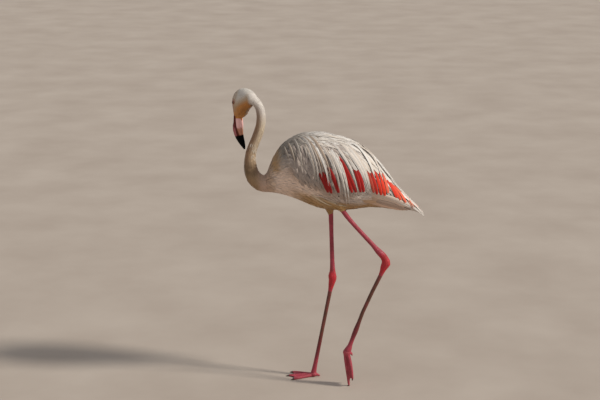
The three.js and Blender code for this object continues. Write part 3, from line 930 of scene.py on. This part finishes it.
def side_places(x, z, side):
    """Places on the skin as seen from one side, at some x and z."""
    found = []
    for across, height in zip(x, z):
        hit = skin.tree.ray_cast(Vector((across, side * ASIDE, height)), Vector((0, -side, 0)))[0]
        if hit is None:  # past the bird's outline, a place keeps its x and z
            near = skin.tree.find_nearest(Vector((across, side * 0.01, height)))[0]
            hit = Vector((across, near.y, height))
        found.append(hit)
    return np.array(found)


def at_height(x, down):
    """The z at an x that is some share of the way down the side."""
    top, low = np.interp(x, *back_line), np.interp(x, *wing_edge)
    return mix(top, low, down)


STRAND_BASE = 1.6 * MM
STRAND_LIFT = 1.8 * MM
STRAND_RISE = 0.5
STRAND_DEPTH = 1.1 * MM  # half of it
ROOT_SHADE = 0.8


def flight_vanes(name, spine, across, up, half_widths, half_depth, shape, colours):
    shaded = root_shaded(colours, shape, ROOT_SHADE, 0.4)
    vanes(name, spine, across, up, half_widths, half_depth, shape, BROAD_SECTION, shaded)


def strands(name, side, count, start, end, down, length, half_width, seed):
    """A row of long pointed feathers that hang from the shoulders over the wing."""
    chance = np.random.default_rng(seed)
    x = mix(start, end, (np.arange(count) + chance.uniform(0.1, 0.9, count)) / count)
    roots = side_places(x, at_height(x, chance.uniform(*down, count)), side)
    behind = smooth(x, start, end)
    lengths = mix(*length, behind) * chance.uniform(0.75, 1.2, count)
    half_widths = mix(*half_width, behind) * chance.uniform(0.8, 1.2, count)
    colours = mix(STRAND, TAN, chance.uniform(0, 0.35, (count, 1)))
    # Painted shade: the strands in front are darker.
    colours = layered(colours, (SHOULDER_SHADE, smooth(x, -0.03, -0.1) * chance.uniform(0.5, 1, count)))
    chance = np.random.default_rng(seed + 1)
    lifts = STRAND_LIFT * chance.uniform(0.7, 1.3, count)
    yaw = chance.normal(0, 0.05, count)
    spine, across, up = grow(skin, roots, lengths, lie, len(LANCE), lifts, yaw, STRAND_RISE, STRAND_BASE)
    colours = colours * chance.uniform(0.88, 1.05, (count, 1))
    flight_vanes(name, spine, across, up, half_widths, STRAND_DEPTH, LANCE, colours)


# The skin's top edge as seen from the side. Feathers that are laid stay a little under it.
outline = profile(skin.points[skin.points[:, 0] > -0.18], np.max, 4 * MM)
UNDER_OUTLINE = 4 * MM
LAID_DEPTH = 1.0 * MM  # half of it


def eased(rows):
    """Values along each feather, smoothed but for their ends."""
    for _ in range(3):
        middle_rows = 0.25 * rows[:, :-2] + 0.5 * rows[:, 1:-1] + 0.25 * rows[:, 2:]
        rows = np.concatenate([rows[:, :1], middle_rows, rows[:, -1:]], 1)
    return rows


def laid(name, side, feathers, colours, base, lift, shape, seed, bow):
    """Feathers on one side, each by x and z of root and tip and half its width, in millimetres. Each bends
    up from the straight line by some share of its length, and its root is buried."""
    chance = np.random.default_rng(seed)
    root_x, root_z, tip_x, tip_z, half_width = np.array(feathers).T * MM
    share = np.linspace(0, 1, len(shape))
    bend = 4 * bow * share * (1 - share)
    run, drop = (tip_x - root_x)[:, None], (root_z - tip_z)[:, None]
    x = root_x[:, None] + run * share + drop * bend
    z = root_z[:, None] - drop * share + run * bend
    z = np.minimum(z, np.interp(x, *outline) - UNDER_OUTLINE)
    ground = side_places(x.ravel(), z.ravel(), side)
    normals = skin.nearest(ground)[1]
    outward = unit(np.array([0.2, side, 0.4]))
    normals = np.where((normals @ outward > 0.35)[:, None], normals, outward)
    ground, up = eased(ground.reshape(*x.shape, 3)), unit(eased(normals.reshape(*x.shape, 3)))
    stagger = 0.5 * MM * (np.arange(len(x)) % 3)
    height = (base + stagger[:, None]) * smooth(share, -0.04, 0.16) + lift * share ** 0.5
    spine = ground + up * height[..., None]
    across = unit(np.cross(unit(np.gradient(spine, axis=1)), up))
    colours = colours * chance.uniform(0.9, 1.05, (len(x), 1))
    flight_vanes(name, spine, across, up, half_width, LAID_DEPTH, shape, colours)


# The longest strands, as x and z of root and tip and half the width, in millimetres, and how brown each is.
LONG_STRANDS = [
    (-140, 776, -120, 738, 2.5, 0.6),
    (-126, 790, -104, 724, 2.5, 0.5),
    (-111, 806, -84, 714, 3, 0.3),
    (-102, 816, -42, 680, 4.6, 0.3),
    (-90, 816, -34, 678, 2.8, 0),
    (-82, 816, -24, 692, 2.6, 0.6),
    (-75, 816, -3, 669, 4.2, 0),
    (-66, 815, 4, 690, 3.6, 0.5),
    (-54, 816, 33, 645, 4, 0.1),
    (-45, 814, 27, 662, 3, 0.6),
    (-38, 812, 52, 604, 4.8, 0),
    (-25, 806, 60, 607, 4, 0),
    (-10, 804, 88, 636, 3.4, 0.1),
    (15, 798, 116, 638, 5, 0),
    (36, 790, 122, 643, 5.5, 0.2),
    (60, 792, 133, 682, 6, 0),
    (79, 790, 154, 679, 6, 0.2),
    (97, 784, 182, 676, 6, 0),
    (127, 768, 196, 668, 6, 0.1),
]
STRAND_BOW = 0.095
# A tan stain mixed with painted shade, for the lower feather of each long strand.
UNDER_STRAND = mix(TAN, STRAND_GAP_SHADE, 0.55)


def long_strands(name, side, seed):
    """Each long strand is two feathers that lie nearly together, the lower one browner and in painted shade.
    """
    chance = np.random.default_rng(seed)
    rows, colours = [], []
    for *strand, brown in LONG_STRANDS:
        for under in (1, 0):
            spread = chance.normal(0, 1, 5) * under * np.array([2, 2, 2.4, 6, 0])
            rows.append(np.array(strand) + spread + np.array([0, 0, 0, 5 * under, 0.5 * under]))
            colours.append(mix(STRAND, UNDER_STRAND, np.clip(brown + 0.35 * under, 0, 1)))
    # Painted shade: the long strands in front are darker.
    colours = layered(np.array(colours), (SHOULDER_SHADE, smooth(np.array(rows)[:, 0] * MM, -0.07, -0.12) * 0.6))
    laid(name, side, rows, colours, 5.0 * MM, 2.4 * MM, LANCE, seed + 1, STRAND_BOW)


# The red coverts, as x and z of root and tip and half the width, in millimetres, and a colour.
LIT_CORAL = mix(CORAL, SALMON, 0.5)
# Painted shade: the darkest reds, in front, are darkened for the strands lying over them.
RED_COVERTS = [
    (-32, 706, -4, 645, 5.5, RED * 0.7),
    (-22, 712, 6, 643, 5.5, RED * 0.8),
    (-6, 726, 27, 646, 6, RED * 0.75),
    (21, 758, 67, 645, 5.5, RED),
    (26, 754, 79, 645, 5.5, RED * 0.9),
    (72, 716, 93, 645, 5, RED * 0.85),
    (80, 718, 103, 645, 5.5, RED),
    (112, 706, 133, 641, 4.6, mix(RED, SALMON, 0.25)),
    (122, 704, 144, 635, 5, mix(RED, CORAL, 0.3)),
    (134, 704, 157, 631, 5.5, mix(RED, CORAL, 0.7)),
    (146, 700, 168, 628, 5.5, CORAL),
    (156, 694, 177, 634, 5.5, LIT_CORAL),
    (168, 674, 205, 616, 5.5, mix(CORAL, RED, 0.3)),
    (179, 664, 217, 608, 5.5, mix(LIT_CORAL, CORAL, 0.6)),
    (191, 652, 233, 598, 5.5, LIT_CORAL),
]


def split(feathers):
    """The numbers and the colours of some feathers."""
    return [row[:-1] for row in feathers], np.array([row[-1] for row in feathers])


# The feathers of the wing's end and the tail, and the pale ones over the thighs, in the same way.
WING_END = [
    (168, 664, 250, 572, 7, mix(FLANK, DARK, 0.3)),
    (178, 676, 258, 576, 6, mix(FLANK, SALMON, 0.5)),
    (200, 646, 262, 578, 5, SALMON),
    (210, 644, 274, 576, 5, mix(SALMON, CORAL, 0.3)),
    (150, 742, 288, 566, 3.4, mix(STRAND, PINK, 0.3)),
    (140, 752, 292, 567, 3.8, WHITE),
]
TAIL_END = [
    (90, 612, 214, 584, 9, mix(TAIL_BROWN, STAIN, 0.4)),
    (118, 604, 244, 568, 9, TAIL_BROWN),
    (130, 612, 250, 571, 9, FLANK),
    (112, 622, 240, 576, 9, TAIL_BROWN),
    (118, 632, 246, 582, 9, mix(TAIL_BROWN, WHITE, 0.3)),
    (120, 642, 243, 590, 8, mix(TAIL_BROWN, WHITE, 0.5)),
    (126, 626, 186, 606, 3, WHITE),
    (150, 622, 214, 598, 3, WHITE),
    (190, 606, 246, 584, 3.5, WHITE),
]
THIGH_STREAKS = [
    (-70, 634, -2, 588, 4, TAN),
    (-58, 636, 13, 589, 4, CREAM),
    (-34, 626, 40, 592, 4, TAN),
    (-30, 622, 58, 590, 4, CREAM),
    (-20, 608, 34, 580, 3.5, STAIN),
]

for word, side in SIDES.items():
    strands(f"strands_front_{word}", side, 16, -0.13, 0.0, (0.06, 0.3), (0.04, 0.06), (2.2 * MM, 3.2 * MM),
            51 + side)
    strands(f"strands_middle_{word}", side, 16, -0.06, 0.12, (0.04, 0.2), (0.06, 0.08), (3.4 * MM, 4.6 * MM),
            61 + side)
    strands(f"strands_rear_{word}", side, 44, 0.04, 0.22, (0.0, 0.34), (0.1, 0.085), (5.5 * MM, 7 * MM),
            71 + side)
    long_strands(f"strands_long_{word}", side, 81 + side)
    laid(f"red_coverts_{word}", side, *split(RED_COVERTS), 4.6 * MM, 0.4 * MM, SQUARE, 45, 0.03)
    laid(f"wing_end_{word}", side, *split(WING_END), 2.6 * MM, 0.8 * MM, QUILL, 46, 0.02)
    laid(f"tail_end_{word}", side, *split(TAIL_END), 1.8 * MM, 0.6 * MM, QUILL, 47, 0.02)
    laid(f"thigh_streaks_{word}", side, *split(THIGH_STREAKS), 1.6 * MM, 1.2 * MM, LANCE, 48, -0.03)


# ---- Bill ----
# Painted shade: the upper bill's pink drawn as a deep red.
UPPER_BILL_SHADE = tone(98, 38, 32)
MAUVE = tone(176, 110, 112)
BILL_PINK = tone(255, 204, 198)
BEIGE = tone(204, 146, 118)
# Painted shade along the gape, where the bill's two halves meet.
GAPE_SHADE = tone(78, 8, 4)
BLACK = tone(0, 0, 0)
BILL_VOXEL = 0.6 * MM
EDGE_ROUNDING = 0.12 * MM
ROOT_HIDDEN = 9 * MM  # how much of the bill's root is inside the head


def bill_half(name, other, colours_at):
    """One half of the bill, with its edge rounded along the gape."""
    mesh = remeshed(grown_copy([name], 0), BILL_VOXEL)
    points, ends = points_of(mesh), edges_of(mesh)
    moved(mesh, relaxed(points, ends, 0.5, 8))
    points = points_of(mesh)
    gap = Parts([other]).distances(points)
    into_head = smooth(Parts(["head"]).distances(points), 2.2 * MM, 0.8 * MM)
    points = points - normals_of(mesh) * (EDGE_ROUNDING * smooth(gap, 2.0 * MM, 0.3 * MM))[:, None]
    points = points + (into_head * ROOT_HIDDEN)[:, None] * unit(UP - 0.25 * head_ahead)
    moved(mesh, points)
    shaded_smooth(mesh)
    paint(mesh, colours_at(points, gap))
    return add_piece(f"{name}_horn", mesh, bill_material(), [name])


def black_tip(ahead, height):
    return BLACK, smooth(height + 0.3 * ahead, -107, -112)


def upper_colours(points, gap):
    ahead, height, _ = in_head(points)
    edge = 8 * (wavy(points, 0.012, 6) - 0.5)
    # Painted shade: deep red above the mauve-pink bend, and darker along the gape.
    return layered(
        UPPER_BILL_SHADE,
        (MAUVE, smooth(height + edge, -72, -90)),
        (GAPE_SHADE, smooth(gap, 3.4 * MM, 1.2 * MM) * 0.85),
        black_tip(ahead, height),
    )


def chin_feathered(height, left, gap):
    """Where down covers the lower bill: round its base, and in a point along its underside."""
    point = smooth(np.abs(left) + 0.5 * (-52 - height), 6, 4) * smooth(gap, 9 * MM, 12 * MM)
    return np.maximum(smooth(height, -54, -52), point)


def lower_colours(points, gap):
    ahead, height, left = in_head(points)
    edge = 6 * (wavy(points, 0.012, 7) - 0.5)
    # Painted shade along the gape, wider towards the bend.
    gape_shade_width = mix(3.0, 10.0, smooth(height, -66, -98)) * MM
    return layered(
        BILL_PINK,
        (BEIGE, smooth(height + edge, -78, -90)),
        (GAPE_SHADE, smooth(gap, gape_shade_width, 0.6 * gape_shade_width) * 0.9),
        black_tip(ahead, height),
        (RUST_STAIN_AND_SHADE, chin_feathered(height, left, gap)),
    )


bill_half("bill_upper", "bill_lower", upper_colours)
lower_bill = bill_half("bill_lower", "bill_upper", lower_colours)
chin = Surface(lower_bill.data)


def on_chin(points):
    _, height, left = in_head(points)
    gap = Parts(["bill_upper"]).distances(points)
    return (chin_feathered(height, left, gap) > 0.5) & (height > -64)


def up_chin(points, normals):
    way = unit(-0.4 * head_ahead + UP)
    return unit(way - normals * (normals @ way)[:, None])


feathered("coat_chin", on_chin, (1.5, 5, 1.0, 0.6, 0.22), TUFT, 27, 0.92, colours_at=plain(RUST_STAIN_AND_SHADE), ground=chin,
          way_at=up_chin)


# ---- Eyes ----
IRIS = tone(176, 128, 66)
PUPIL = tone(8, 7, 7)
EYE_WHITE = tone(70, 46, 40)  # dark, and hidden by the lids
LID_EDGE = tone(96, 40, 34)


def eye_material():
    look = Look("eye")
    wet = {"Roughness": 0.08, "Coat Weight": 1.0, "Coat Roughness": 0.02}
    look.fill(look.shader, {"Base Color": look.marked(), **wet})
    return look.material


def closed_mesh(name, points, faces):
    """A smooth mesh with its faces turned outwards."""
    mesh = bpy.data.meshes.new(name)
    mesh.from_pydata(points.tolist(), [], faces)
    shape = bmesh.new()
    shape.from_mesh(mesh)
    bmesh.ops.recalc_face_normals(shape, faces=shape.faces)
    shape.to_mesh(mesh)
    shape.free()
    shaded_smooth(mesh)
    return mesh


def ring_faces(steps, rings, spokes):
    """Faces from each ring of points to the next, for some steps, where the last ring leads to the first."""
    faces = []
    for ring in range(steps):
        here, after = ring * spokes, (ring + 1) % rings * spokes
        for spoke in range(spokes):
            beside = (spoke + 1) % spokes
            faces.append((here + spoke, here + beside, after + beside, after + spoke))
    return faces


def round_eye(side, first, turn, spin, radius):
    """Points round an eye: turned from its axis, spun round it from a first way, and some way out."""
    axis = eye_axis(side)
    flat = np.cos(spin)[:, None] * first + np.sin(spin)[:, None] * np.cross(axis, first)
    turn = np.radians(turn)[..., None]
    return eye_centres[side] + (np.cos(turn) * axis + np.sin(turn) * flat) * radius[..., None]


def eyeball(name, side):
    """A ball with a bulging cornea, a pale iris and a round pupil."""
    rings, spokes = 48, 48
    turn = np.repeat(np.linspace(0.4, 179.6, rings), spokes)
    spin = np.tile(np.arange(spokes) * 2 * math.pi / spokes, rings)
    radius = eye_radius * (0.97 + 0.05 * smooth(turn, 40, 10))
    points = round_eye(side, unit(np.cross(eye_axis(side), UP)), turn, spin, radius)
    caps = [tuple(range(spokes))[::-1], tuple((rings - 1) * spokes + spoke for spoke in range(spokes))]
    mesh = closed_mesh(name, points, caps + ring_faces(rings - 1, rings, spokes))
    iris_edge, iris, pupil = smooth(turn, 44, 38), smooth(turn, 38, 30), smooth(turn, 22, 19)
    paint(mesh, layered(EYE_WHITE, (IRIS * 0.45, iris_edge), (IRIS, iris), (PUPIL, pupil)))
    add_piece(f"{name}_ball", mesh, eye_material(), [name])


def lids(name, side):
    """A wrinkled ring of skin that holds the eyeball, its opening longer along the head than it is high."""
    outer, inner, spokes = 26, 6, 64
    rings = outer + inner
    spin = np.arange(spokes) * 2 * math.pi / spokes
    axis = eye_axis(side)
    first = unit(head_ahead - (head_ahead @ axis) * axis)
    opening = mix(LID_HEIGHT, LID_WIDTH, np.cos(spin) ** 2)
    share = np.concatenate([np.linspace(0, 1, outer), np.linspace(1, 0.02, inner)])[:, None]
    folded = smooth(share, 0.08, 0.2) * smooth(share, 0.6, 0.4)
    folds = 0.12 * np.sin(share * 34 + 0.4 * np.sin(3 * spin)) * folded
    over = 0.15 + 0.75 * smooth(share, 0, 0.09) - 3.4 * smooth(share, 0.5, 1) + folds
    under = mix(-0.5, -3.2, smooth(share, 0.5, 1))
    thick = np.where(np.arange(rings)[:, None] < outer, over, under)
    points = round_eye(side, first, mix(opening, LID_END, share), spin, eye_radius + thick * MM)
    mesh = closed_mesh(name, points.reshape(-1, 3), ring_faces(rings, rings, spokes))
    out = np.repeat(share, spokes)
    paint(mesh, layered(LID_EDGE, (EYE_RING, smooth(out, 0.02, 0.14)), (BARE, smooth(out, 0.14, 0.34))))
    add_piece(name, mesh, lid_material())


for word, side in SIDES.items():
    eyeball(f"eye_{word}", side)
for word, side in SIDES.items():
    lids(f"lids_{word}", side)

# ---- Legs ----
CRIMSON = tone(178, 58, 76)
SCARLET = tone(204, 30, 44)
MAROON = tone(98, 24, 22)
MUD = tone(98, 60, 40)
WEB = tone(206, 92, 100)
leg_parts = Parts(LEG_FLESH)


def leg_colours(points):
    """Pink-crimson shanks, scarlet ankles, muddy tarsi and crimson feet."""
    owner = np.array(LEG_FLESH)[leg_parts.at(points)]
    patchy = wavy(points, 0.03, 5)
    colours = CRIMSON
    for side in SIDES:
        knee = middle(f"ankle_{side}")[2]
        low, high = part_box(f"tarsus_{side}")
        share = (points[:, 2] - low.z) / (high.z - low.z)
        tarsus = owner == f"tarsus_{side}"
        near_ankle = np.char.endswith(owner, side) * smooth(np.abs(points[:, 2] - knee), 0.042, 0.02)
        colours = layered(
            colours,
            (MUD, tarsus * smooth(share, 0.22, 0.45) * (0.7 + 0.3 * patchy)),
            (MAROON, tarsus * smooth(share, 0.55, 0.3) * smooth(share, 0.1, 0.25) * 0.7),
            (SCARLET, near_ankle * (0.75 + 0.25 * patchy)),
            (WEB, (owner == f"foot_{side}") * 0.4 * patchy),
        )
    return colours


def leg_material():
    """Scaly skin: a net of small plates with darker lines between them."""
    look = Look("leg_skin")
    scales = look.node("TexVoronoi", {"Scale": 300.0, "Vector": look.place()}, feature="DISTANCE_TO_EDGE")
    dirt = look.noise(60.0, 6.0)
    colour = look.mixed(look.ranged(dirt, 0.45, 0.75, 0.0, 0.4), look.marked(), tone(96, 66, 52))
    colour = look.mixed(look.ranged(scales, 0.0, 0.12, 0.5, 0.0), colour, tone(70, 22, 24))
    raised = look.ranged(scales, 0.0, 0.15, 0.0, 1.0)
    return look.finished(colour, look.ranged(dirt, 0.4, 0.7, 0.4, 0.75), raised, 0.35 * MM, 0.8)


leg_mesh = leg_skin()
shaded_smooth(leg_mesh)
paint(leg_mesh, leg_colours(points_of(leg_mesh)))
add_piece("leg_skin", leg_mesh, leg_material(), LEG_FLESH)


horn = claw_material()
for name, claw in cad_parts.items():
    if name.startswith("claw_"):
        for slot in claw.material_slots:
            slot.material = horn

# ---- Floor, light and camera ----
CAMERA_HEIGHT = 1.7
CAMERA_DISTANCE = 4.242
CAMERA_DOWN = math.radians(14.56)
CAMERA_ASIDE = -0.09
LENS = 85.02  # in millimetres, on a film 36 wide
FILM = 36
FLOOR_HALF = 40.0
SKY = (0.93, 0.95, 1.0)
SKY_STRENGTH = 0.42
SUN = (1.0, 0.95, 0.87)
SUN_STRENGTH = 2.7
SUN_WIDTH = math.radians(7)  # as a broad studio lamp
SUN_FROM = Vector((1.0, -0.26, 0.75))


def floor_material():
    look = Look("floor")
    grain = look.ranged(look.noise(3.0, 8.0), 0.3, 0.7, 0.0, 1.0)
    colour = look.mixed(grain, tone(176, 162, 149), tone(188, 175, 162))
    look.fill(look.shader, {"Base Color": colour, "Roughness": 0.9})
    return look.material


def make_stage():
    mesh = bpy.data.meshes.new("floor")
    corners = [(x * FLOOR_HALF, y * FLOOR_HALF, 0) for x, y in ((-1, -1), (1, -1), (1, 1), (-1, 1))]
    mesh.from_pydata(corners, [], [(0, 1, 2, 3)])
    mesh.materials.append(floor_material())
    floor = placed("floor", mesh)
    world = bpy.data.worlds.new("studio")
    world.use_nodes = True
    sky = world.node_tree.nodes["Background"].inputs
    sky["Color"].default_value = (*SKY, 1)
    sky["Strength"].default_value = SKY_STRENGTH
    bpy.context.scene.world = world
    bpy.context.scene.view_settings.view_transform = "Standard"
    key = bpy.data.lights.new("key", "SUN")
    key.energy = SUN_STRENGTH
    key.angle = SUN_WIDTH
    key.color = SUN
    lamp = placed("key", key)
    lamp.rotation_euler = SUN_FROM.to_track_quat("Z", "Y").to_euler()
    lens = bpy.data.cameras.new("camera")
    lens.lens = LENS
    lens.sensor_width = FILM
    camera = placed("camera", lens)
    camera.location = (CAMERA_ASIDE, -CAMERA_DISTANCE, CAMERA_HEIGHT)
    camera.rotation_euler = (math.pi / 2 - CAMERA_DOWN, 0, 0)
    bpy.context.scene.camera = camera


make_stage()
